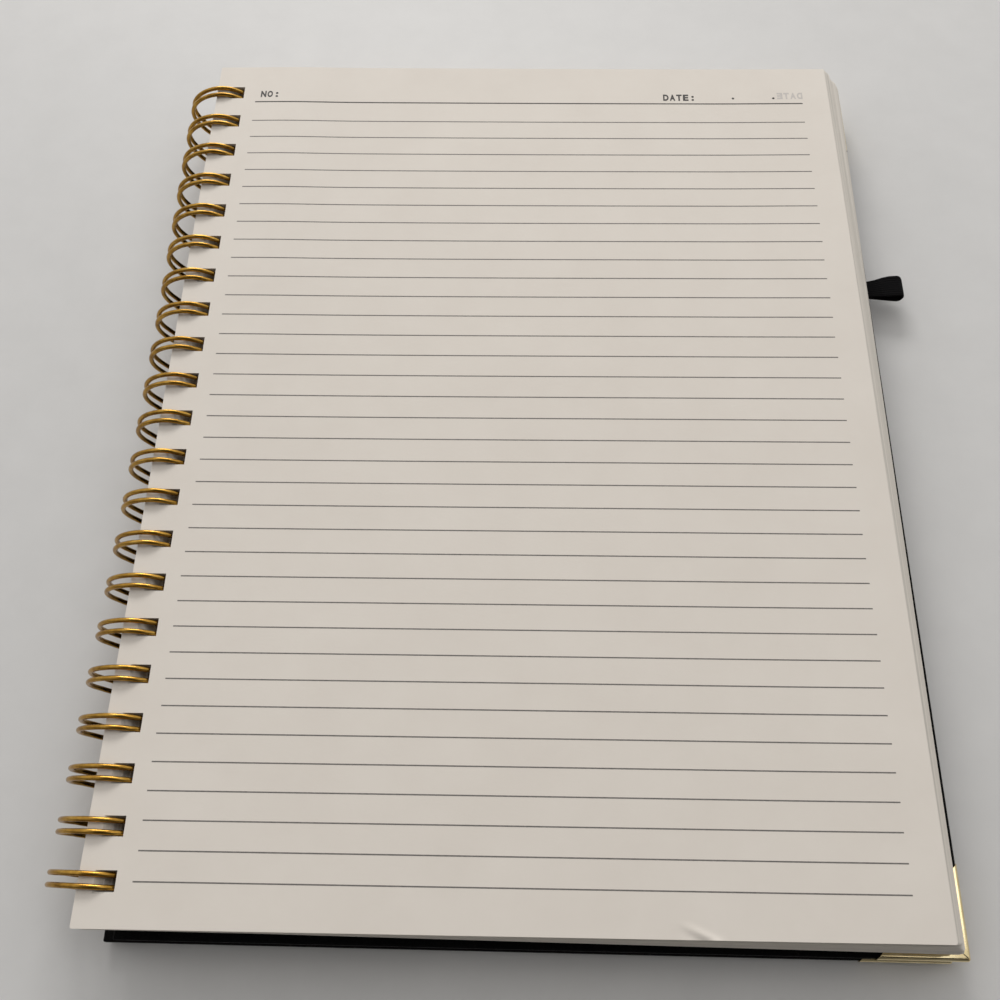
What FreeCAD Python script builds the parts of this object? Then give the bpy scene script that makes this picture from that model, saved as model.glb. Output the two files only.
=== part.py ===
import FreeCAD, Part
import math
import os

from FreeCAD import Vector

# Hard-cover notebook bound with one twin-loop wire. It lies open with both covers turned
# right round under the sheets, the front cover lowest.
# Millimetres. The model is laid out with X from the top sheet's spine edge towards the
# fore-edge, Y up the page from the sheets' foot, and Z up from the table. The last step
# moves the origin to the middle of the whole, on the table.

# Sheets
SHEET_W = 206.5
SHEET_H = 276.3
SHEET_T = 0.125
SHEET_COUNT = 117
SHEET_CORNER_R = 0.5

# Row of square holes in the sheets
SHEET_HOLE_EDGE = 3.9
SHEET_HOLE_L = 5.24
ROW_OFF_CENTRE = 0.56
TOP_SHEET_PLAY = 0.24
LOW_SHEET_PLAY = 0.78

# Twin-loop wire
WIRE_D = 1.2
LOOP_PITCH = 12.7
END_MARGIN = 8.0
LEG_SPACING = 2.9
BASE_BEND_R = 1.45
RING_RISE = 2.8
LEG_PLAY = 0.5
TIP_GAP = 0.5

# Cover boards
FORE_OVERHANG = 1.55
HEAD_OVERHANG = 1.55
BOARD_T = 2.2
BOARD_EDGE_R = 0.5
COVER_HOLE_EDGE = 2.0
COVER_HOLE_PLAY = 0.375
FRONT_SLIP = 0.4
BOARD_ON_WIRE = 0.55

# Metal corners, folded round the boards' fore-edge corners
CORNER_LEG = 22.5
CORNER_T = 0.3
MITRE_GAP = 0.2

# Elastic pen loop, pressed flat, its ends glued into a slot in the back board's edge
BAND_W = 7.8
BAND_T = 0.8
LOOP_END_R = 1.1
PEN_LOOP_REACH = 11.6
PEN_LOOP_Y = 198.2
BAND_TAIL = 9.0
BAND_SPLIT = 0.7

# Clearances between pieces that lie on each other
LIE_GAP = 0.15
SEAM_PLAY = 0.1
RELIEF_PLAY = 0.3
RELIEF_REACH = 1.6

# Heights of the stack, from the table up
FRONT_Z = WIRE_D + BOARD_ON_WIRE
BACK_Z = FRONT_Z + BOARD_T + 2 * CORNER_T + LIE_GAP
BLOCK_Z = BACK_Z + BOARD_T + CORNER_T + LIE_GAP
BLOCK_TOP = BLOCK_Z + SHEET_COUNT * SHEET_T
BLOCK_MID = (BLOCK_Z + BLOCK_TOP) / 2

# The ring stands on the table and rises a set height over the top sheet
RING_R = (BLOCK_TOP + RING_RISE - WIRE_D) / 2
RING_IN = RING_R - WIRE_D / 2
RING_OUT = RING_R + WIRE_D / 2
RING_Z = RING_OUT


def half_chord(radius, height):
    """How far a circle round the ring's centre reaches sideways at a height."""
    return math.sqrt(radius ** 2 - (height - RING_Z) ** 2)


# The top sheet's holes hang with their fore ends on the ring
RING_X = SHEET_HOLE_EDGE + SHEET_HOLE_L - TOP_SHEET_PLAY - half_chord(RING_OUT, BLOCK_TOP)

# As many loops as the sheets' height has room for
LOOP_COUNT = int((SHEET_H - 2 * END_MARGIN) / LOOP_PITCH) + 1
ROW_Y0 = SHEET_H / 2 + ROW_OFF_CENTRE - LOOP_PITCH * (LOOP_COUNT - 1) / 2
HOLE_W = LEG_SPACING + WIRE_D + 2 * LEG_PLAY

# The wire's base runs lie in a line on the back board, under the last sheets
SEAM_Z = BACK_Z + BOARD_T + SEAM_PLAY + WIRE_D / 2
SEAM_R = math.hypot(RING_R, BASE_BEND_R)
SEAM_ANGLE = math.asin((SEAM_Z - RING_Z) / SEAM_R)
SEAM_X = RING_X + SEAM_R * math.cos(SEAM_ANGLE)
BASE_ANGLE = SEAM_ANGLE - math.atan2(BASE_BEND_R, RING_R)
TIP_ANGLE = SEAM_ANGLE + (WIRE_D + TIP_GAP) / RING_R + math.atan2(LEG_SPACING / 2, RING_R)
RELIEF_Z = SEAM_Z + WIRE_D / 2 + RELIEF_PLAY
RELIEF_X = SEAM_X + WIRE_D / 2 + RELIEF_REACH

# How far the middle and the lowest sheets have slid from under the top sheet's spine edge:
# the middle ones have the wire in the middle of their holes, the lowest little play left
MIDDLE_LEAN = RING_X + half_chord(RING_R, BLOCK_MID) - SHEET_HOLE_EDGE - SHEET_HOLE_L / 2
LOWEST_LEAN = RING_X + half_chord(RING_IN, RELIEF_Z) - SHEET_HOLE_EDGE - LOW_SHEET_PLAY

# The same hole is punched in both boards, long enough for the ring to turn in the lower
COVER_HOLE_L = (half_chord(RING_OUT, FRONT_Z + BOARD_T) - half_chord(RING_IN, FRONT_Z)
                + 2 * COVER_HOLE_PLAY)
BOARD_H = SHEET_H + 2 * HEAD_OVERHANG


def loop_centres():
    """Height up the page of each of the wire's loops."""
    return [ROW_Y0 + LOOP_PITCH * n for n in range(LOOP_COUNT)]


def hole_start(board_z):
    """Spine side of a board's holes, which sit centrally on the wire's crossing."""
    spine_side = half_chord(RING_IN, board_z)
    fore_side = half_chord(RING_OUT, board_z + BOARD_T)
    return RING_X + (spine_side + fore_side - COVER_HOLE_L) / 2


def spine_edge(board_z):
    return hole_start(board_z) - COVER_HOLE_EDGE


# Both boards are alike, and the back one reaches a set way past the lowest sheets
BOARD_W = SHEET_W + LOWEST_LEAN + FORE_OVERHANG - spine_edge(BACK_Z)


def fore_edge(board_z):
    return spine_edge(board_z) + BOARD_W


# Sheets


def leaning_edge(offset):
    """Curve up through the stack that every sheet's spine edge follows, set back by offset."""
    return Part.Arc(Vector(offset, 0, BLOCK_TOP),
                    Vector(offset + MIDDLE_LEAN, 0, BLOCK_MID),
                    Vector(offset + LOWEST_LEAN, 0, BLOCK_Z)).toShape()


def leaning_slab(start, end, y, width):
    """Solid between two leaning curves, from y over a width up the page."""
    near = leaning_edge(start)
    far = leaning_edge(end)
    top = Part.makeLine(near.Vertexes[0].Point, far.Vertexes[0].Point)
    bottom = Part.makeLine(near.Vertexes[-1].Point, far.Vertexes[-1].Point)
    outline = Part.Wire(Part.__sortEdges__([near, bottom, far, top]))
    slab = Part.Face(outline).extrude(Vector(0, width, 0))
    slab.translate(Vector(0, y, 0))
    return slab


def upright_edges(solid):
    """Edges that climb the whole height of the stack."""
    return [e for e in solid.Edges if e.BoundBox.ZLength > BLOCK_TOP - BLOCK_Z - LIE_GAP]


def page_block():
    block = leaning_slab(0, SHEET_W, 0, SHEET_H)
    block = block.makeFillet(SHEET_CORNER_R, upright_edges(block))
    holes = [leaning_slab(SHEET_HOLE_EDGE, SHEET_HOLE_EDGE + SHEET_HOLE_L, y - HOLE_W / 2, HOLE_W)
             for y in loop_centres()]
    # The last sheets lift where they lie over the wire's base runs.
    lift = Part.makeBox(RELIEF_X, SHEET_H, RELIEF_Z - BLOCK_Z, Vector(0, 0, BLOCK_Z))
    return block.cut(holes + [lift])


# Wire


def carried(disc, moves):
    """Solids that a disc leaves as it is carried through runs and bends in turn."""
    solids = []
    for move in moves:
        if len(move) == 1:
            solids.append(disc.extrude(*move))
            disc = disc.translated(*move)
        else:
            solids.append(disc.revolve(*move))
            disc = disc.rotated(*move)
    return solids


def ring_point(angle, y):
    return Vector(RING_X + RING_R * math.cos(angle), y, RING_Z + RING_R * math.sin(angle))


def ring_tangent(angle):
    return Vector(-math.sin(angle), 0, math.cos(angle))


def wire_loop(y, first, last):
    """One loop: base run, leg round the ring, tip bend, and the leg back to the next run."""
    along = Vector(0, 1, 0)
    ring_axis = Vector(RING_X, 0, RING_Z)
    base = ring_tangent(BASE_ANGLE)
    near_y = y - LEG_SPACING / 2
    far_y = y + LEG_SPACING / 2
    half_run = LOOP_PITCH / 2 - LEG_SPACING / 2 - BASE_BEND_R
    leg_sweep = 360 - math.degrees(TIP_ANGLE - BASE_ANGLE)

    bend_in = (ring_point(BASE_ANGLE, near_y - BASE_BEND_R), base.cross(along), 90)
    leg_out = (ring_axis, along, leg_sweep)
    tip = (ring_point(TIP_ANGLE, y), along.cross(ring_tangent(TIP_ANGLE)), 180)
    leg_back = (ring_axis, along, -leg_sweep)
    bend_out = (ring_point(BASE_ANGLE, far_y + BASE_BEND_R), base.cross(along), 90)
    run = (Vector(0, half_run, 0),)

    if first:
        start, facing = ring_point(BASE_ANGLE, near_y), base
        moves = [leg_out, tip, leg_back, bend_out, run]
    else:
        start, facing = bend_in[0] + base * BASE_BEND_R - run[0], along
        moves = [run, bend_in, leg_out, tip, leg_back, bend_out, run]
    if last:
        moves = moves[:-2]
    disc = Part.Face(Part.Wire(Part.makeCircle(WIRE_D / 2, start, facing)))
    pieces = carried(disc, moves)
    return pieces[0].multiFuse(pieces[1:])


def twin_loop_wire():
    centres = loop_centres()
    loops = [wire_loop(y, y == centres[0], y == centres[-1]) for y in centres]
    return loops[0].multiFuse(loops[1:]).removeSplitter()


# Covers


def rounded_plate(x, y, z, width, height, thickness, radius):
    """Flat plate whose long edges and corners are all softly rounded."""
    plate = Part.makeBox(width, height, thickness, Vector(x, y, z))
    return plate.makeFillet(radius, plate.Edges)


def board_blank(board_z, skin=0.0):
    """A board's outside, or that of a metal skin folded round it."""
    return rounded_plate(spine_edge(board_z) - skin, -HEAD_OVERHANG - skin, board_z - skin,
                         BOARD_W + 2 * skin, BOARD_H + 2 * skin, BOARD_T + 2 * skin,
                         BOARD_EDGE_R + skin)


def board_holes(board_z):
    return [Part.makeBox(COVER_HOLE_L, HOLE_W, BOARD_T,
                         Vector(hole_start(board_z), y - HOLE_W / 2, board_z))
            for y in loop_centres()]


def front_board():
    return board_blank(FRONT_Z).cut(board_holes(FRONT_Z))


def back_board():
    return board_blank(BACK_Z).cut(board_holes(BACK_Z) + [band_tails()])


def cover_corner(board_z, at_head, inside_up):
    """Metal corner: plain on the cover's outside, two flaps that meet in a mitre inside."""
    x = fore_edge(board_z) + CORNER_T
    y = SHEET_H + HEAD_OVERHANG + CORNER_T if at_head else -HEAD_OVERHANG - CORNER_T
    inward = -1 if at_head else 1
    z = board_z - CORNER_T
    leg = CORNER_LEG + CORNER_T
    thickness = BOARD_T + 2 * CORNER_T

    triangle = Part.Face(Part.makePolygon([Vector(x, y, z), Vector(x - leg, y, z),
                                           Vector(x, y + inward * leg, z), Vector(x, y, z)]))
    metal = board_blank(board_z, CORNER_T).common(triangle.extrude(Vector(0, 0, thickness)))
    metal = metal.cut(board_blank(board_z))

    # The saw-thin gap between the flaps runs from the tip to the middle of the long side.
    slot_z = board_z + BOARD_T if inside_up else z
    slot = Part.makeBox(leg, MITRE_GAP, CORNER_T, Vector(BOARD_EDGE_R + CORNER_T, -MITRE_GAP / 2, 0))
    slot.rotate(Vector(0, 0, 0), Vector(0, 0, 1), 180 - 45 * inward)
    slot.translate(Vector(x, y, slot_z))
    return metal.cut(slot)


# Pen loop


def tangent_point(outside, centre, radius):
    """Upper point where a line from outside touches a circle, both in the XZ plane."""
    away = outside - centre
    turn = math.atan2(away.z, away.x) - math.acos(radius / away.Length)
    return centre + Vector(radius * math.cos(turn), 0, radius * math.sin(turn))


def teardrop(apex_x, apex_half, centre, radius):
    """Face bounded by an arc and by two lines that run in to the fore-edge."""
    above = Vector(apex_x, 0, centre.z + apex_half)
    touch_above = tangent_point(above, centre, radius)
    below = Vector(above.x, 0, 2 * centre.z - above.z)
    touch_below = Vector(touch_above.x, 0, 2 * centre.z - touch_above.z)
    edges = [Part.makeLine(above, touch_above),
             Part.Arc(touch_above, centre + Vector(radius, 0, 0), touch_below).toShape(),
             Part.makeLine(touch_below, below)]
    if apex_half > 0:
        edges.append(Part.makeLine(below, above))
    return Part.Face(Part.Wire(edges))


def band_tails():
    """Both ends of the elastic, one on the other, inside the board."""
    return Part.makeBox(BAND_TAIL, BAND_W, 2 * BAND_T,
                        Vector(fore_edge(BACK_Z) - BAND_TAIL, PEN_LOOP_Y - BAND_W / 2,
                               BACK_Z + BOARD_T / 2 - BAND_T))


def pen_loop():
    edge = fore_edge(BACK_Z)
    outer_r = LOOP_END_R + BAND_T
    centre = Vector(edge + PEN_LOOP_REACH - outer_r, 0, BACK_Z + BOARD_T / 2)
    outside = teardrop(edge, BAND_T, centre, outer_r)
    ring = outside.cut(teardrop(edge + BAND_SPLIT, 0, centre, LOOP_END_R))
    band = ring.extrude(Vector(0, BAND_W, 0))
    band.translate(Vector(0, PEN_LOOP_Y - BAND_W / 2, 0))
    return band.fuse(band_tails()).removeSplitter()


def front_cover():
    return {
        "front_cover_board": front_board(),
        "front_cover_corner_top": cover_corner(FRONT_Z, True, False),
        "front_cover_corner_bottom": cover_corner(FRONT_Z, False, False),
    }


def back_cover():
    return {
        "back_cover_board": back_board(),
        "back_cover_corner_top": cover_corner(BACK_Z, True, True),
        "back_cover_corner_bottom": cover_corner(BACK_Z, False, True),
        "pen_loop": pen_loop(),
    }


def slipped(cover, towards_foot):
    """A cover's pieces, slid along the wire within its holes' play."""
    return {name: piece.translated(Vector(0, -towards_foot, 0)) for name, piece in cover.items()}


def main():
    nodes = {"page_block": page_block(), "twin_loop_wire": twin_loop_wire()}
    nodes.update(back_cover())
    nodes.update(slipped(front_cover(), FRONT_SLIP))
    left = RING_X - RING_OUT
    right = fore_edge(BACK_Z) + PEN_LOOP_REACH
    to_origin = Vector(-(left + right) / 2, -(SHEET_H - FRONT_SLIP) / 2, 0)

    os.makedirs("parts", exist_ok=True)
    for name, shape in nodes.items():
        shape.translate(to_origin)
        shape.exportStep(f"parts/{name}.step")
        print(f"{name}: {len(shape.Solids)} solid, {shape.Volume:.0f} mm3")


main()
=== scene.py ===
import math
import random

import bpy
from mathutils import Euler, Matrix, Vector
from mathutils.geometry import delaunay_2d_cdt

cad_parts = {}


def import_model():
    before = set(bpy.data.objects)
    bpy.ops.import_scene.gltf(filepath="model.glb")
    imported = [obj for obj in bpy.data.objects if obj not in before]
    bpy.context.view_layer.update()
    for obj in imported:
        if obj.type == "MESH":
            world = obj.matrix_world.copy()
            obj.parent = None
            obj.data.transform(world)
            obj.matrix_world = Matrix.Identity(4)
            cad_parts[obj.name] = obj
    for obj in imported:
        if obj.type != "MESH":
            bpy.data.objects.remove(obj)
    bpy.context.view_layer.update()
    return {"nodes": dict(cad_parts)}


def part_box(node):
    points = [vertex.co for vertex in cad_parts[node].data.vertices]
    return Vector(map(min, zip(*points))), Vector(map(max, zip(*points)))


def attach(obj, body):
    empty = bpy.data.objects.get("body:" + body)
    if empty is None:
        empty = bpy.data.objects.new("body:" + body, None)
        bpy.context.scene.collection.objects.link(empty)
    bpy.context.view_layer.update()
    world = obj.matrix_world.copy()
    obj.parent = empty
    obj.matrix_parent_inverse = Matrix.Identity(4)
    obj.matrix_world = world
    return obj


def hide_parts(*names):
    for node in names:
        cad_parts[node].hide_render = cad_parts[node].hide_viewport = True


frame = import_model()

# Wire-bound notebook with a ruled page open. Lengths are in millimetres and are turned
# into metres by MM where a mesh is made.

MM = 0.001


def node_box(name):
    """Lowest and highest corner of a CAD node, in millimetres."""
    low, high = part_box(name)
    return Vector(low) / MM, Vector(high) / MM


BLOCK_LOW, BLOCK_HIGH = node_box("page_block")
WIRE_LOW, WIRE_HIGH = node_box("twin_loop_wire")
BACK_LOW, BACK_HIGH = node_box("back_cover_board")
PEN_LOW, PEN_HIGH = node_box("pen_loop")

# Sheets
SHEET_W = 206.5
SHEET_H = BLOCK_HIGH.y - BLOCK_LOW.y
SPINE_X = BLOCK_LOW.x
FOOT_Y = BLOCK_LOW.y
SHEET_COUNT = 117
STACK_Z = BLOCK_LOW.z
STACK_H = BLOCK_HIGH.z - BLOCK_LOW.z
SHEET_T = 0.105
TOP_SHEET_AIR = 0.06
SHEET_PITCH = (STACK_H - SHEET_T - TOP_SHEET_AIR) / (SHEET_COUNT - 1)
CORNER_R = 0.5
MIDDLE_LEAN = 4.6
LOWEST_LEAN = 5.2
SEAM_LIFT = 1.25
SEAM_LIFT_FROM = 16.0
SEAM_LIFT_TO = 60.0
NEW_GROUP_CHANCE = 0.13
SHARP_ANGLE = math.radians(40)

# Holes and wire
HOLE_EDGE = 3.9
HOLE_L = 5.24
HOLE_W = 5.1
LOOP_COUNT = 21
LOOP_PITCH = 12.7
FIRST_LOOP = 11.71
LEG_SPACING = 2.9
BASE_BEND_R = 1.45
WIRE_D = 1.35
WIRE_SIDES = 12
LEG_STEPS = 52
TIP_STEPS = 8
SEAM_PLAY = 0.1
TIP_GAP = 0.5
RING_R = (WIRE_HIGH.z - WIRE_LOW.z - WIRE_D) / 2
RING_X = WIRE_LOW.x + WIRE_D / 2 + RING_R
RING_Z = (WIRE_LOW.z + WIRE_HIGH.z) / 2
RING_KEEP_X = RING_X + RING_R * 0.55
RING_SINK = 1.15
SEAM_Z = BACK_HIGH.z + SEAM_PLAY + WIRE_D / 2
SEAM_ANGLE = math.asin((SEAM_Z - RING_Z) / math.hypot(RING_R, BASE_BEND_R))
BASE_ANGLE = SEAM_ANGLE - math.atan2(BASE_BEND_R, RING_R)
TIP_ANGLE = SEAM_ANGLE + (WIRE_D + TIP_GAP) / RING_R + math.atan2(LEG_SPACING / 2, RING_R)

# The pile has slewed on the covers: its upper sheets turn a little more the higher they lie,
# and the top ones have slipped towards the foot with the wire
PIVOT_X = 5.0
PIVOT_Y = 60.0
TOP_TURN = math.radians(0.30)
LOWER_TURN = math.radians(-0.26)
TURN_FROM = 0.45
TOP_SLIP = 1.16

# Print
LINE_COUNT = 36
LINE_PITCH = 7.10
LAST_LINE_Y = 10.61
LINE_LEFT = 13.3
LINE_RIGHT = 197.64
LINE_W = 0.34
HEADER_LINE_W = 0.46
HEADER_LINE_Y = 260.38
INK_T = 0.015
INK_CLEAR = 0.004
LETTER_W = 1.85
LETTER_H = 2.85
LETTER_PITCH = 2.22
LETTER_BOLD = 0.19
SMALL_SIGN_INSET = 0.6

# Name, words and lower left corner of what is printed at the head
LABELS = [
    ("number_label", "NO:", 14.95, 262.45),
    ("date_label", "DATE:", 151.2, 261.75),
    ("date_dot_1", ".", 173.6, 262.4),
    ("date_dot_2", ".", 187.1, 262.4),
]
REVERSE_LABEL = ("reverse_label", "DATE", 189.4, 262.45)

# Camera, set to the photograph's and placed over the top sheet's foot-left corner:
# 1065 pixels of focal length in a frame of 1000
CAMERA_OVER_SHEET = (104.50, -14.39, 266.96)
CAMERA_TURN = (25.393, 0.722, 1.026)
FOCAL_SHARE = 1.0649
SENSOR = 36.0

random.seed(7)


# Meshes


def make_mesh(name, points, faces, material, smooth=False):
    """A piece from points in millimetres."""
    mesh = bpy.data.meshes.new(name)
    mesh.from_pydata([Vector(p) * MM for p in points], [], faces)
    mesh.update()
    mesh.materials.append(material)
    for polygon in mesh.polygons:
        polygon.use_smooth = smooth
    piece = bpy.data.objects.new(name, mesh)
    bpy.context.scene.collection.objects.link(piece)
    return piece


def place(piece, body, slot, *nodes):
    """Puts a piece on a body and hides the CAD nodes it stands for; the material slot is not used.
    """
    if nodes:
        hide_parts(*nodes)
    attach(piece, body)


def apply_modifiers(piece):
    """Replaces the piece's mesh with what its modifiers make of it."""
    graph = bpy.context.evaluated_depsgraph_get()
    mesh = bpy.data.meshes.new_from_object(piece.evaluated_get(graph))
    piece.modifiers.clear()
    piece.data = mesh


# Materials


class Nodes:
    """A material's node tree, with short ways to add and link nodes."""

    def __init__(self, name):
        self.material = bpy.data.materials.new(name)
        self.material.use_nodes = True
        self.tree = self.material.node_tree
        self.shader = self.tree.nodes["Principled BSDF"]
        self.place = self.add("ShaderNodeTexCoord").outputs["Object"]

    def add(self, kind, **inputs):
        node = self.tree.nodes.new(kind)
        for name, value in inputs.items():
            node.inputs[name.replace("_", " ")].default_value = value
        return node

    def link(self, source, target):
        self.tree.links.new(source, target)

    def set(self, **inputs):
        for name, value in inputs.items():
            self.shader.inputs[name.replace("_", " ")].default_value = value

    def noise(self, scale, detail=3.0, roughness=0.5, stretch=None):
        node = self.add("ShaderNodeTexNoise", Scale=scale, Detail=detail, Roughness=roughness)
        source = self.place
        if stretch:
            mapping = self.add("ShaderNodeMapping", Scale=stretch)
            self.link(source, mapping.inputs["Vector"])
            source = mapping.outputs["Vector"]
        self.link(source, node.inputs["Vector"])
        return node.outputs["Fac"]

    def ramp(self, source, stops):
        node = self.tree.nodes.new("ShaderNodeValToRGB")
        ramp = node.color_ramp
        while len(ramp.elements) < len(stops):
            ramp.elements.new(0.5)
        for element, (at, colour) in zip(ramp.elements, stops):
            element.position = at
            element.color = (*colour, 1.0)
        self.link(source, node.inputs["Fac"])
        return node.outputs["Color"]

    def range(self, source, low, high):
        node = self.add("ShaderNodeMapRange", To_Min=low, To_Max=high)
        self.link(source, node.inputs["Value"])
        return node.outputs["Result"]

    def bump(self, source, depth, strength=1.0, below=None):
        node = self.add("ShaderNodeBump", Strength=strength, Distance=depth * MM)
        self.link(source, node.inputs["Height"])
        if below:
            self.link(below, node.inputs["Normal"])
        return node.outputs["Normal"]


def paper_material():
    """Warm off-white uncoated paper, with faint mottling and fibre."""
    n = Nodes("paper")
    mottle = n.noise(55, 4.0, 0.6)
    n.link(n.ramp(mottle, [(0.3, (0.760, 0.705, 0.640)), (0.7, (0.790, 0.737, 0.672))]),
           n.shader.inputs["Base Color"])
    broad = n.bump(n.noise(140, 2.0), 0.05, 0.5)
    n.link(n.bump(n.noise(2600, 3.0, 0.6), 0.012, 0.6, broad), n.shader.inputs["Normal"])
    n.set(Roughness=0.72, Sheen_Weight=0.08, IOR=1.4)
    return n.material


def edge_paper_material():
    """The cut sheets under the top one, shaded sheet by sheet."""
    n = Nodes("paper_edges")
    bands = n.noise(1.0, 2.0, 0.7, (6.0, 6.0, 2600.0))
    n.link(n.ramp(bands, [(0.25, (0.60, 0.575, 0.525)), (0.60, (0.76, 0.715, 0.655)),
                          (0.75, (0.80, 0.755, 0.695))]),
           n.shader.inputs["Base Color"])
    n.link(n.bump(n.noise(2200, 2.0), 0.012, 0.5), n.shader.inputs["Normal"])
    n.set(Roughness=0.78, Sheen_Weight=0.05, IOR=1.4)
    return n.material


def ink_material(name, dark, light):
    """Thin grey print whose tone varies a little along its length."""
    n = Nodes(name)
    tone = n.noise(900, 3.0, 0.7)
    n.link(n.ramp(tone, [(0.3, (dark, dark * 0.94, dark * 0.90)),
                         (0.75, (light, light * 0.94, light * 0.88))]),
           n.shader.inputs["Base Color"])
    n.set(Roughness=0.65, IOR=1.4)
    return n.material


def wire_material():
    """Gold lacquer on steel wire: darker where it is worn, deep orange-gold elsewhere."""
    n = Nodes("antique_gold")
    patina = n.noise(260, 4.0, 0.65)
    n.link(n.ramp(patina, [(0.30, (0.26, 0.130, 0.020)), (0.55, (0.45, 0.255, 0.048)),
                           (0.78, (0.60, 0.385, 0.100))]),
           n.shader.inputs["Base Color"])
    n.link(n.range(n.noise(700, 3.0), 0.16, 0.32), n.shader.inputs["Roughness"])
    n.link(n.bump(n.noise(1500, 2.0), 0.01, 0.5), n.shader.inputs["Normal"])
    n.set(Metallic=1.0)
    return n.material


def corner_material():
    """Bright polished gold plate with fine rubbing marks."""
    n = Nodes("polished_gold")
    n.link(n.ramp(n.noise(180, 3.0), [(0.3, (0.80, 0.65, 0.36)), (0.7, (0.93, 0.80, 0.50))]),
           n.shader.inputs["Base Color"])
    scratches = n.noise(60, 4.0, 0.7, (1.0, 14.0, 1.0))
    n.link(n.range(scratches, 0.06, 0.17), n.shader.inputs["Roughness"])
    n.link(n.bump(n.noise(420, 2.0), 0.01, 0.25), n.shader.inputs["Normal"])
    n.set(Metallic=1.0)
    return n.material


def cover_material():
    """Black leather-grained covering over board."""
    n = Nodes("black_leatherette")
    cells = n.add("ShaderNodeTexVoronoi", Scale=1150.0, Randomness=1.0)
    cells.feature = "DISTANCE_TO_EDGE"
    warp = n.add("ShaderNodeMixRGB", Fac=0.0012)
    warp.blend_type = "ADD"
    wander = n.add("ShaderNodeTexNoise", Scale=500.0, Detail=2.0)
    n.link(n.place, wander.inputs["Vector"])
    n.link(n.place, warp.inputs["Color1"])
    n.link(wander.outputs["Color"], warp.inputs["Color2"])
    n.link(warp.outputs["Color"], cells.inputs["Vector"])
    creases = n.add("ShaderNodeMapRange", From_Min=0.0, From_Max=0.35)
    n.link(cells.outputs["Distance"], creases.inputs["Value"])
    grain = n.bump(creases.outputs["Result"], 0.09, 0.7)
    n.link(n.bump(n.noise(3200, 3.0, 0.6), 0.02, 0.5, grain), n.shader.inputs["Normal"])
    n.link(n.ramp(n.noise(90, 4.0), [(0.3, (0.0016, 0.0016, 0.0018)),
                                     (0.75, (0.0040, 0.0039, 0.0039))]),
           n.shader.inputs["Base Color"])
    n.link(n.range(n.noise(300, 3.0), 0.40, 0.55), n.shader.inputs["Roughness"])
    n.set(IOR=1.45, Specular_IOR_Level=0.07)
    return n.material


def elastic_material():
    """Black elastic webbing: fine lengthways ribs crossed by the weft."""
    n = Nodes("black_elastic")
    weave = n.add("ShaderNodeTexWave", Scale=420.0, Distortion=0.6, Detail=1.0)
    weave.bands_direction = "Y"
    n.link(n.place, weave.inputs["Vector"])
    fuzz = n.noise(5200, 3.0, 0.7)
    ribs = n.bump(weave.outputs["Fac"], 0.05, 0.6)
    n.link(n.bump(fuzz, 0.04, 0.7, ribs), n.shader.inputs["Normal"])
    n.link(n.ramp(fuzz, [(0.3, (0.002, 0.002, 0.0025)), (0.75, (0.009, 0.0085, 0.009))]),
           n.shader.inputs["Base Color"])
    n.set(Roughness=0.9, Specular_IOR_Level=0.06, Sheen_Weight=0.015, Sheen_Roughness=0.5)
    return n.material


# Sheets


def circle_through(a, b, c):
    """Centre and radius of the circle through three points of the XZ plane."""
    d = 2 * (a[0] * (b[1] - c[1]) + b[0] * (c[1] - a[1]) + c[0] * (a[1] - b[1]))
    squares = [p[0] ** 2 + p[1] ** 2 for p in (a, b, c)]
    x = (squares[0] * (b[1] - c[1]) + squares[1] * (c[1] - a[1]) + squares[2] * (a[1] - b[1])) / d
    z = (squares[0] * (c[0] - b[0]) + squares[1] * (a[0] - c[0]) + squares[2] * (b[0] - a[0])) / d
    return x, z, math.hypot(a[0] - x, a[1] - z)


LEAN_CIRCLE = circle_through((0, STACK_H), (MIDDLE_LEAN, STACK_H / 2), (LOWEST_LEAN, 0))


def lean(height):
    """How far a sheet at that height in the stack has slid from the top sheet's place."""
    x, z, radius = LEAN_CIRCLE
    return x + math.sqrt(radius ** 2 - (height - z) ** 2)


def ease(value, start, end):
    """0 before start, 1 after end, and smooth between."""
    t = min(max((value - start) / (end - start), 0.0), 1.0)
    return t * t * (3 - 2 * t)


def levels(stops, step):
    """Values from the first stop to the last, through every stop, no more than a step apart."""
    out = [stops[0]]
    for a, b in zip(stops, stops[1:]):
        pieces = max(1, math.ceil((b - a) / step - 1e-6))
        out += [a + (b - a) * n / pieces for n in range(1, pieces + 1)]
    return out


def waves(x, y):
    """Gentle unevenness that the upper sheets share, at a place on the page."""
    swell = 0.22 * math.sin(x / 51 + 0.5) * math.cos(y / 71 + 0.9)
    return swell + 0.10 * math.sin(x / 43 - y / 57)


def loose_lift(x, y):
    """How far the top sheet stands off the next one."""
    near_spine = 0.30 * math.exp(-((x - 26) / 14) ** 2) * ease(y, 120, 250)
    fore_curl = 0.35 * ease(x, 165, 206) * (0.4 + 0.6 * math.sin(y / 61 + 1.0) ** 2)
    return near_spine + fore_curl


CREASE_FROM = Vector((143.4, 3.2))
CREASE_TO = Vector((151.8, -0.6))


def crease(x, y):
    """A short sharp fold that starts in the sheet and runs out over its foot."""
    along = CREASE_TO - CREASE_FROM
    length = along.length
    along.normalize()
    at = Vector((x, y)) - CREASE_FROM
    run = at.dot(along)
    off = at.dot(Vector((-along.y, along.x)))
    depth = ease(run, -2.0, 0.6 * length)
    ridge = 0.34 * math.exp(-(off / 0.7) ** 2) - 0.20 * math.exp(-((off + 1.5) / 1.0) ** 2)
    return depth * ridge * ease(-abs(off), -8.0, -2.0)


def seam_lift(x, height):
    """Near the wire's base runs the whole stack is squeezed up off them."""
    return SEAM_LIFT * (1 - height / STACK_H) * (1 - ease(x, SEAM_LIFT_FROM, SEAM_LIFT_TO))


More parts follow.
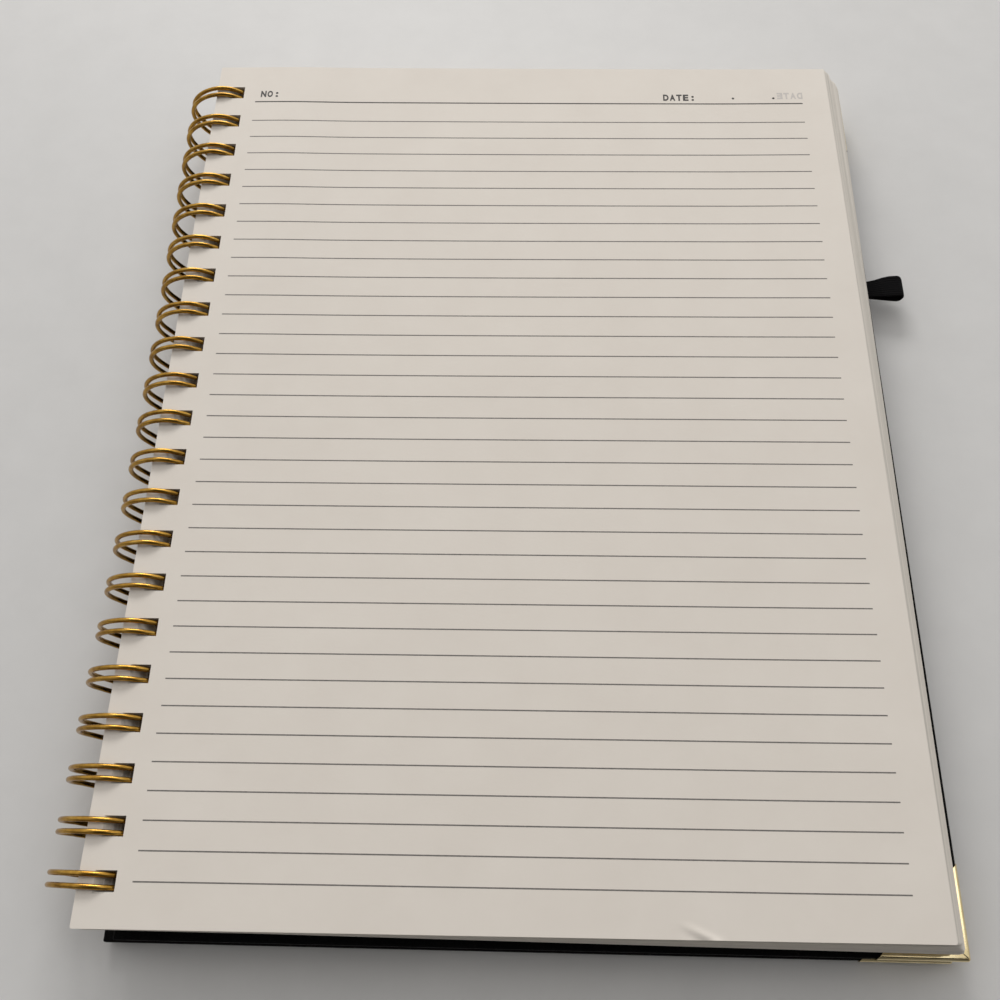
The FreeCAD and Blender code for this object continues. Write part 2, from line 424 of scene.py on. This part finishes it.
def turned(x, y, angle):
    """A place of the pile, turned about the pivot that the slewed sheets share."""
    dx, dy = x - PIVOT_X, y - PIVOT_Y
    return (PIVOT_X + dx * math.cos(angle) - dy * math.sin(angle),
            PIVOT_Y + dx * math.sin(angle) + dy * math.cos(angle))


def hole_centres():
    """Middles of the holes in a sheet of its own, up from its foot."""
    return [FIRST_LOOP - TOP_SLIP + LOOP_PITCH * n for n in range(LOOP_COUNT)]


def loop_centres():
    """Middles of the wire's loops where they pass the covers."""
    return [FIRST_LOOP + LOOP_PITCH * n for n in range(LOOP_COUNT)]


def rounded_outline(step):
    """Points round a sheet's edge, the corners rounded and the sides cut into steps."""
    corners = [((CORNER_R, CORNER_R), 180), ((SHEET_W - CORNER_R, CORNER_R), 270),
               ((SHEET_W - CORNER_R, SHEET_H - CORNER_R), 0), ((CORNER_R, SHEET_H - CORNER_R), 90)]
    arcs = []
    for (x, y), start in corners:
        angles = [math.radians(start + 45 * n) for n in range(3)]
        arcs.append([(x + CORNER_R * math.cos(a), y + CORNER_R * math.sin(a)) for a in angles])
    outline = []
    for arc, following in zip(arcs, arcs[1:] + arcs[:1]):
        outline += arc
        (x0, y0), (x1, y1) = arc[-1], following[0]
        pieces = max(1, round(math.hypot(x1 - x0, y1 - y0) / step))
        outline += [(x0 + (x1 - x0) * n / pieces, y0 + (y1 - y0) * n / pieces)
                    for n in range(1, pieces)]
    return outline


def hole_outline(y):
    low, high = y - HOLE_W / 2, y + HOLE_W / 2
    near, far = HOLE_EDGE, HOLE_EDGE + HOLE_L
    return [(near, low), (near, high), (far, high), (far, low)]


def in_hole(x, y):
    beside = HOLE_EDGE < x < HOLE_EDGE + HOLE_L
    return beside and any(abs(y - centre) < HOLE_W / 2 for centre in hole_centres())


def flat_sheet():
    """Points, triangles and edge loops of one sheet: its outline, its holes and inner points."""
    loops = [rounded_outline(12.0)] + [hole_outline(y) for y in hole_centres()]
    flat = [point for loop in loops for point in loop]
    rings, start = [], 0
    for loop in loops:
        rings.append([start + n for n in range(len(loop))])
        start += len(loop)
    edges = [pair for ring in rings for pair in zip(ring, ring[1:] + ring[:1])]
    flat += [(x, y) for x in levels([22.0, 190.0], 22.0) for y in levels([14.0, 262.0], 22.0)]
    found = delaunay_2d_cdt([Vector(p) for p in flat], edges, [], 1, 1e-6)
    corners, triangles = found[0], found[2]
    kept = [t for t in triangles
            if not in_hole(sum(corners[i].x for i in t) / 3, sum(corners[i].y for i in t) / 3)]
    return [tuple(c) for c in corners], kept, rings


def stack_sheets():
    """All the sheets under the top one, as one mesh of thin closed slabs."""
    flat, triangles, rings = flat_sheet()
    count = len(flat)
    points, faces = [], []
    group_x = group_y = group_turn = 0.0
    for k in range(SHEET_COUNT - 1):
        if random.random() < NEW_GROUP_CHANCE:
            group_x = random.uniform(-0.55, 0.15)
            group_y = random.uniform(-0.25, 0.25)
            group_turn = random.uniform(-0.0008, 0.0008)
        height = k * SHEET_PITCH
        share = height / STACK_H
        slide = lean(height) + group_x + random.uniform(-0.06, 0.06)
        slip = TOP_SLIP * (1 - share) + group_y + random.uniform(-0.06, 0.06)
        turn = LOWER_TURN + (TOP_TURN - LOWER_TURN) * ease(share, TURN_FROM, 1.0)
        turn += group_turn + random.uniform(-0.0002, 0.0002)
        first = len(points)
        for thick in (0.0, SHEET_T):
            for x, y in flat:
                px, py = turned(x + slide, y + slip, turn)
                z = STACK_Z + height + thick + waves(px, py) * share ** 3
                points.append((SPINE_X + px, FOOT_Y + py, z + seam_lift(px, height)))
        for a, b, c in triangles:
            faces.append((first + a, first + c, first + b))
            faces.append((first + count + a, first + count + b, first + count + c))
        for ring in rings:
            for a, b in zip(ring, ring[1:] + ring[:1]):
                faces.append((first + a, first + b, first + count + b, first + count + a))
    return points, faces


def rounded_corner(x, y):
    """Moves a point near a sheet's square corner to where a rounded corner has it."""
    cx = min(max(x, CORNER_R), SHEET_W - CORNER_R)
    cy = min(max(y, CORNER_R), SHEET_H - CORNER_R)
    dx, dy = x - cx, y - cy
    if not dx or not dy:
        return x, y
    scale = max(abs(dx), abs(dy)) / math.hypot(dx, dy)
    return cx + dx * scale, cy + dy * scale


def page_point(x, y, above=0.0):
    """Where a place on the top sheet, measured from its foot at the spine, lies in the model."""
    px, py = turned(x, y, TOP_TURN)
    z = STACK_Z + STACK_H - SHEET_T + waves(px, py) + loose_lift(x, y) + crease(x, y) + above
    return SPINE_X + px, FOOT_Y + py, z


def top_sheet(material):
    crease_x = levels([136.0, 160.0], 0.6)
    xs = levels([0, CORNER_R, HOLE_EDGE, HOLE_EDGE + HOLE_L, 136.0], 3.0)
    xs += crease_x[1:] + levels([160.0, SHEET_W - CORNER_R, SHEET_W], 3.0)[1:]
    stops = [0, CORNER_R]
    for y in hole_centres():
        stops += [y - HOLE_W / 2, y + HOLE_W / 2]
    ys = levels([0, 9.0], 0.6)
    ys += levels([9.0] + [s for s in stops if s > 9.0] + [SHEET_H - CORNER_R, SHEET_H], 2.6)[1:]
    points = [page_point(*rounded_corner(x, y), SHEET_T) for y in ys for x in xs]
    faces = []
    for j, (y0, y1) in enumerate(zip(ys, ys[1:])):
        for i, (x0, x1) in enumerate(zip(xs, xs[1:])):
            if not in_hole((x0 + x1) / 2, (y0 + y1) / 2):
                a = j * len(xs) + i
                faces.append((a, a + 1, a + len(xs) + 1, a + len(xs)))
    sheet = make_mesh("top_sheet", points, faces, material, smooth=True)
    solid = sheet.modifiers.new("thickness", "SOLIDIFY")
    solid.thickness = SHEET_T * MM
    solid.offset = -1.0
    apply_modifiers(sheet)
    sheet.data.set_sharp_from_angle(angle=SHARP_ANGLE)
    return sheet


# Print on the top sheet


def ink_strip(y, width, left, right):
    """Points and faces of one ruled line, a thin closed strip that follows the sheet."""
    xs = levels([left, right], 3.0)
    points, faces = [], []
    for x in xs:
        for dy, up in ((-0.5, 0.0), (0.5, 0.0), (0.5, 1.0), (-0.5, 1.0)):
            points.append(page_point(x, y + dy * width, SHEET_T + INK_CLEAR + up * INK_T))
    for n in range(len(xs) - 1):
        a, b = 4 * n, 4 * n + 4
        faces += [(a + i, b + i, b + (i + 1) % 4, a + (i + 1) % 4) for i in range(4)]
    last = 4 * (len(xs) - 1)
    faces += [(0, 1, 2, 3), (last + 3, last + 2, last + 1, last)]
    return points, faces


def joined(parts):
    """Points and faces of several shapes, as those of one mesh."""
    points, faces = [], []
    for more_points, more_faces in parts:
        first = len(points)
        points += more_points
        faces += [tuple(first + i for i in face) for face in more_faces]
    return points, faces


def ruled_lines(material):
    strips = []
    for n in range(LINE_COUNT - 1):
        left = LINE_LEFT + random.uniform(-0.12, 0.12)
        right = LINE_RIGHT + random.uniform(-0.12, 0.12)
        strips.append(ink_strip(LAST_LINE_Y + LINE_PITCH * n, LINE_W, left, right))
    return make_mesh("ruled_lines", *joined(strips), material)


def header_line(material):
    strip = ink_strip(HEADER_LINE_Y, HEADER_LINE_W, LINE_LEFT, LINE_RIGHT)
    return make_mesh("header_line", *strip, material)


def letter(sign):
    """Points and faces of one bold printed sign, its lower left corner at the origin."""
    curve = bpy.data.curves.new("letter", "FONT")
    curve.body = sign
    curve.size = 1.4 * LETTER_H
    curve.extrude = INK_T / 2
    curve.offset = LETTER_BOLD
    curve.resolution_u = 4
    text = bpy.data.objects.new("letter", curve)
    bpy.context.scene.collection.objects.link(text)
    graph = bpy.context.evaluated_depsgraph_get()
    mesh = bpy.data.meshes.new_from_object(text.evaluated_get(graph))
    bpy.data.objects.remove(text)
    low_x, high_x = min(v.co.x for v in mesh.vertices), max(v.co.x for v in mesh.vertices)
    low_y, high_y = min(v.co.y for v in mesh.vertices), max(v.co.y for v in mesh.vertices)
    wide = LETTER_W / (high_x - low_x) if sign.isalpha() else 1.0
    tall = LETTER_H / (high_y - low_y) if sign.isalpha() else 1.0
    points = [((v.co.x - low_x) * wide, (v.co.y - low_y) * tall, v.co.z) for v in mesh.vertices]
    faces = [tuple(p.vertices) for p in mesh.polygons]
    bpy.data.meshes.remove(mesh)
    return points, faces


def label(name, words, x, y, material, mirrored=False):
    """Evenly spaced words, flat on the sheet, x and y being their lower left corner."""
    signs = []
    for n, sign in enumerate(words):
        points, faces = letter(sign)
        if mirrored:
            points = [(LETTER_W - px, py, pz) for px, py, pz in points]
            faces = [tuple(reversed(face)) for face in faces]
            n = len(words) - 1 - n
        start = x + LETTER_PITCH * n + (0.0 if sign.isalpha() else SMALL_SIGN_INSET)
        above = SHEET_T + INK_CLEAR + INK_T / 2
        placed = [page_point(start + px, y + py, above + pz) for px, py, pz in points]
        signs.append((placed, faces))
    return make_mesh(name, *joined(signs), material)


# Wire


def ring_point(angle, y):
    """A point down the middle of a loop that passes the covers at y. The rings are bent by use:
    pressed in, most in the middle of the row, sunk onto the top sheet, and splayed."""
    t = y / SHEET_H
    x = RING_X + RING_R * math.cos(angle)
    z = RING_Z + RING_R * math.sin(angle)
    if x < RING_KEEP_X:
        pressed = 0.09 * math.sin(math.pi * t) ** 1.5 + 0.020 - 0.045 * t
        x = RING_KEEP_X - (RING_KEEP_X - x) * (1 - pressed)
    z -= RING_SINK * ease(z, SEAM_Z, RING_Z + RING_R)
    splay = (0.55 - 1.4 * t) * ease(RING_KEEP_X - x, 0.0, RING_KEEP_X - WIRE_LOW.x)
    share = min(max((z - STACK_Z) / STACK_H, 0.0), 1.0)
    px, py = turned(x - SPINE_X, y + splay - TOP_SLIP * share, TOP_TURN * share)
    return Vector((SPINE_X + px, FOOT_Y + py, z))


def wire_route():
    """Points down the middle of the wire, from one end of the binding to the other."""
    route = []
    sweep = 2 * math.pi - (TIP_ANGLE - BASE_ANGLE)
    bend = BASE_BEND_R / RING_R
    tip_reach = LEG_SPACING / 2 / RING_R
    quarter = [math.radians(15 * n) for n in range(7)]
    for number, y in enumerate(loop_centres()):
        sway = random.uniform(-0.12, 0.12)
        near, far = y - LEG_SPACING / 2, y + LEG_SPACING / 2
        if number:
            for a in quarter:
                angle = BASE_ANGLE + bend * math.cos(a)
                route.append(ring_point(angle, near - BASE_BEND_R + BASE_BEND_R * math.sin(a)))
        first = 1 if number else 0
        leg = [(BASE_ANGLE - sweep * n / LEG_STEPS, sway * math.sin(math.pi * n / LEG_STEPS))
               for n in range(first, LEG_STEPS + 1)]
        route += [ring_point(angle, near + off) for angle, off in leg]
        for n in range(1, TIP_STEPS):
            a = math.pi * n / TIP_STEPS
            angle = TIP_ANGLE - tip_reach * math.sin(a)
            route.append(ring_point(angle, y - LEG_SPACING / 2 * math.cos(a)))
        route += [ring_point(angle, far + off) for angle, off in reversed(leg)]
        if number < LOOP_COUNT - 1:
            for a in quarter:
                angle = BASE_ANGLE + bend * math.sin(a)
                route.append(ring_point(angle, far + BASE_BEND_R - BASE_BEND_R * math.cos(a)))
        else:
            route.append(ring_point(BASE_ANGLE, far))
    return route


def tube(name, route, diameter, sides, material):
    """Closed round tube along a route, its rings carried on without twisting."""
    points, faces = [], []
    forward = (route[1] - route[0]).normalized()
    side = forward.orthogonal().normalized()
    for n, at in enumerate(route):
        before, after = route[max(n - 1, 0)], route[min(n + 1, len(route) - 1)]
        ahead = (after - before).normalized()
        side = forward.rotation_difference(ahead) @ side
        side = (side - ahead * side.dot(ahead)).normalized()
        forward = ahead
        up = ahead.cross(side)
        for m in range(sides):
            a = 2 * math.pi * m / sides
            points.append(at + (side * math.cos(a) + up * math.sin(a)) * diameter / 2)
    for n in range(len(route) - 1):
        for m in range(sides):
            a, b = n * sides + m, n * sides + (m + 1) % sides
            faces.append((a, b, b + sides, a + sides))
    faces.append(tuple(reversed(range(sides))))
    faces.append(tuple(range((len(route) - 1) * sides, len(route) * sides)))
    return make_mesh(name, points, faces, material, smooth=True)


# Pen loop

BAND_W = PEN_HIGH.y - PEN_LOW.y
BAND_T = 0.8
BAND_RIBS = 9
BAND_TAIL = 4.0
BAND_RIB_DEPTH = 0.04
SELVEDGE_R = 0.4

# Towards the board the band is drawn in and hangs to the foot, and its end is rounded
BAND_ROOT = 7.5
BAND_PINCH = 0.22
BAND_DROOP = 0.8
BAND_NOSE = 2.6
BAND_NOSE_PINCH = 0.26


def band_route():
    """Middle line of the flattened elastic in the XZ plane, out from the board and back under."""
    middle_r = (PEN_HIGH.z - PEN_LOW.z - BAND_T) / 2
    z = (PEN_LOW.z + PEN_HIGH.z) / 2
    edge = BACK_HIGH.x
    centre = Vector((PEN_HIGH.x - BAND_T / 2 - middle_r, z))
    start = Vector((edge - BAND_TAIL, z + BAND_T / 2))
    root = Vector((edge + 0.3, z + BAND_T / 2))
    away = root - centre
    turn = math.atan2(away.y, away.x) - math.acos(middle_r / away.length)
    touch = centre + Vector((math.cos(turn), math.sin(turn))) * middle_r
    upper = [start, root]
    upper += [root.lerp(touch, n / 4) for n in range(1, 4)]
    arc = [turn * (1 - n / 14) for n in range(15)]
    upper += [centre + Vector((math.cos(a), math.sin(a))) * middle_r for a in arc]
    lower = [Vector((p.x, 2 * z - p.y)) for p in reversed(upper[:-1])]
    return upper + lower


def band_section():
    """Outline across the elastic: flat faces drawn into ribs, with rounded selvedges."""
    steps = BAND_RIBS * 8
    outline = []
    for side in (1, -1):
        for n in range(steps + 1):
            t = n / steps if side > 0 else 1 - n / steps
            rib = BAND_RIB_DEPTH * math.cos(2 * math.pi * BAND_RIBS * t)
            edge = min(t, 1 - t) * BAND_W
            thin = math.sqrt(max(0.0, 1 - (1 - min(edge / SELVEDGE_R, 1.0)) ** 2))
            outline.append((t * BAND_W, side * (BAND_T / 2 - 0.05 + rib) * max(thin, 0.15)))
    return outline


def pen_loop(material):
    route = band_route()
    section = band_section()
    middle_y = (PEN_LOW.y + PEN_HIGH.y) / 2
    points, faces = [], []
    for n, at in enumerate(route):
        before, after = route[max(n - 1, 0)], route[min(n + 1, len(route) - 1)]
        ahead = (after - before).normalized()
        outward = Vector((-ahead.y, ahead.x))
        root = 1 - ease(at.x, BACK_HIGH.x, BACK_HIGH.x + BAND_ROOT)
        pinch = 1 - BAND_PINCH * root
        nose = min(max((at.x - PEN_HIGH.x + BAND_NOSE) / BAND_NOSE, 0.0), 1.0)
        pinch -= BAND_NOSE_PINCH * (1 - math.sqrt(1 - nose ** 2))
        for across, out in section:
            spot = at + outward * out
            y = middle_y - BAND_DROOP * root + (across - BAND_W / 2) * pinch
            points.append((spot.x, y, spot.y))
    size = len(section)
    for n in range(len(route) - 1):
        for m in range(size):
            a, b = n * size + m, n * size + (m + 1) % size
            faces.append((a, a + size, b + size, b))
    faces.append(tuple(range(size)))
    faces.append(tuple(reversed(range((len(route) - 1) * size, len(route) * size))))
    return make_mesh("elastic_pen_loop", points, faces, material, smooth=True)


# Floor, light and camera

FLOOR_HALF = 4000.0
SKY_STRENGTH = 0.95
SKY_TOWARDS = (-0.10, 0.65, 0.75)
SHADE_TOWARDS = (0.12, -0.32, 0.94)
DIM_ROOM = (0.045, 0.044, 0.043, 1.0)
BRIGHT_ROOM = (1.0, 0.985, 0.965, 1.0)
SHADE = (0.035, 0.032, 0.030, 1.0)


def floor():
    n = Nodes("pale_floor")
    n.link(n.ramp(n.noise(60, 5.0, 0.6), [(0.3, (0.640, 0.636, 0.630)),
                                          (0.7, (0.670, 0.666, 0.660))]),
           n.shader.inputs["Base Color"])
    n.link(n.bump(n.noise(700, 3.0), 0.03, 0.3), n.shader.inputs["Normal"])
    n.set(Roughness=0.6)
    half = FLOOR_HALF
    corners = [(-half, -half, 0), (half, -half, 0), (half, half, 0), (-half, half, 0)]
    make_mesh("floor", corners, [(0, 1, 2, 3)], n.material)


def area_light(name, at, aim, width, height, power, colour):
    """A flat lamp at a place in metres, turned to another."""
    light = bpy.data.lights.new(name, "AREA")
    light.shape = "RECTANGLE"
    light.size = width
    light.size_y = height
    light.energy = power
    light.color = colour
    lamp = bpy.data.objects.new(name, light)
    lamp.location = at
    lamp.rotation_euler = (Vector(aim) - Vector(at)).to_track_quat("-Z", "Y").to_euler()
    bpy.context.scene.collection.objects.link(lamp)


def world():
    """Soft room light, brightest behind the notebook's head, with the shade of whoever stands
    at its foot and leans over it."""
    surroundings = bpy.data.worlds.new("studio")
    surroundings.use_nodes = True
    tree = surroundings.node_tree
    background = tree.nodes["Background"]
    place_at = tree.nodes.new("ShaderNodeTexCoord")

    def towards(direction, low, high):
        """0 where a direction's cosine with this one is low, and 1 where it is high."""
        along = tree.nodes.new("ShaderNodeVectorMath")
        along.operation = "DOT_PRODUCT"
        along.inputs[1].default_value = Vector(direction).normalized()
        share = tree.nodes.new("ShaderNodeMapRange")
        share.interpolation_type = "SMOOTHSTEP"
        share.inputs["From Min"].default_value = low
        share.inputs["From Max"].default_value = high
        tree.links.new(place_at.outputs["Generated"], along.inputs[0])
        tree.links.new(along.outputs["Value"], share.inputs["Value"])
        return share.outputs["Result"]

    room = tree.nodes.new("ShaderNodeMixRGB")
    room.inputs["Color1"].default_value = DIM_ROOM
    room.inputs["Color2"].default_value = BRIGHT_ROOM
    tree.links.new(towards(SKY_TOWARDS, -0.55, 1.0), room.inputs["Fac"])
    shaded = tree.nodes.new("ShaderNodeMixRGB")
    shaded.inputs["Color2"].default_value = SHADE
    tree.links.new(room.outputs["Color"], shaded.inputs["Color1"])
    tree.links.new(towards(SHADE_TOWARDS, 0.80, 0.94), shaded.inputs["Fac"])
    tree.links.new(shaded.outputs["Color"], background.inputs["Color"])
    background.inputs["Strength"].default_value = SKY_STRENGTH
    bpy.context.scene.world = surroundings


def camera():
    data = bpy.data.cameras.new("camera")
    data.sensor_width = SENSOR
    data.lens = SENSOR * FOCAL_SHARE
    data.clip_start = 0.01
    shot = bpy.data.objects.new("camera", data)
    over_x, over_y, over_z = CAMERA_OVER_SHEET
    px, py = turned(over_x, over_y, TOP_TURN)
    at = Vector((SPINE_X + px, FOOT_Y + py, BLOCK_HIGH.z + over_z))
    tilt = Euler([math.radians(a) for a in CAMERA_TURN], "XYZ").to_matrix().to_4x4()
    shot.matrix_world = Matrix.Translation(at * MM) @ Matrix.Rotation(TOP_TURN, 4, "Z") @ tilt
    bpy.context.scene.collection.objects.link(shot)
    bpy.context.scene.camera = shot


def main():
    paper = paper_material()
    grey_ink = ink_material("grey_ink", 0.13, 0.22)
    dark_ink = ink_material("dark_ink", 0.045, 0.09)
    faint_ink = ink_material("show_through", 0.56, 0.62)

    stack = make_mesh("sheet_stack", *stack_sheets(), edge_paper_material())
    place(stack, "book_block", "paper", "page_block")
    place(top_sheet(paper), "book_block", "paper", "page_block")
    place(ruled_lines(grey_ink), "book_block", "paper")
    place(header_line(dark_ink), "book_block", "paper")
    for name, words, x, y in LABELS:
        place(label(name, words, x, y, dark_ink), "book_block", "paper")
    place(label(*REVERSE_LABEL, faint_ink, mirrored=True), "book_block", "paper")

    wire = tube("gold_twin_loops", wire_route(), WIRE_D, WIRE_SIDES, wire_material())
    place(wire, "book_block", "gold_wire", "twin_loop_wire")
    place(pen_loop(elastic_material()), "back_cover", "elastic", "pen_loop")

    leatherette, gold = cover_material(), corner_material()
    for name, node in frame["nodes"].items():
        if name.endswith("board"):
            node.data.materials[0] = leatherette
        elif "corner" in name:
            node.data.materials[0] = gold

    floor()
    world()
    area_light("window", at=(-0.22, 1.35, 0.72), aim=(0, 0, 0), width=0.8, height=0.4,
               power=12.0, colour=(1.0, 0.985, 0.965))
    area_light("lamp", at=(0.48, 0.10, 1.00), aim=(0.11, -0.10, 0), width=0.34, height=0.30,
               power=0.5, colour=(1.0, 0.98, 0.95))
    camera()
    bpy.context.scene.view_settings.view_transform = "Standard"


main()
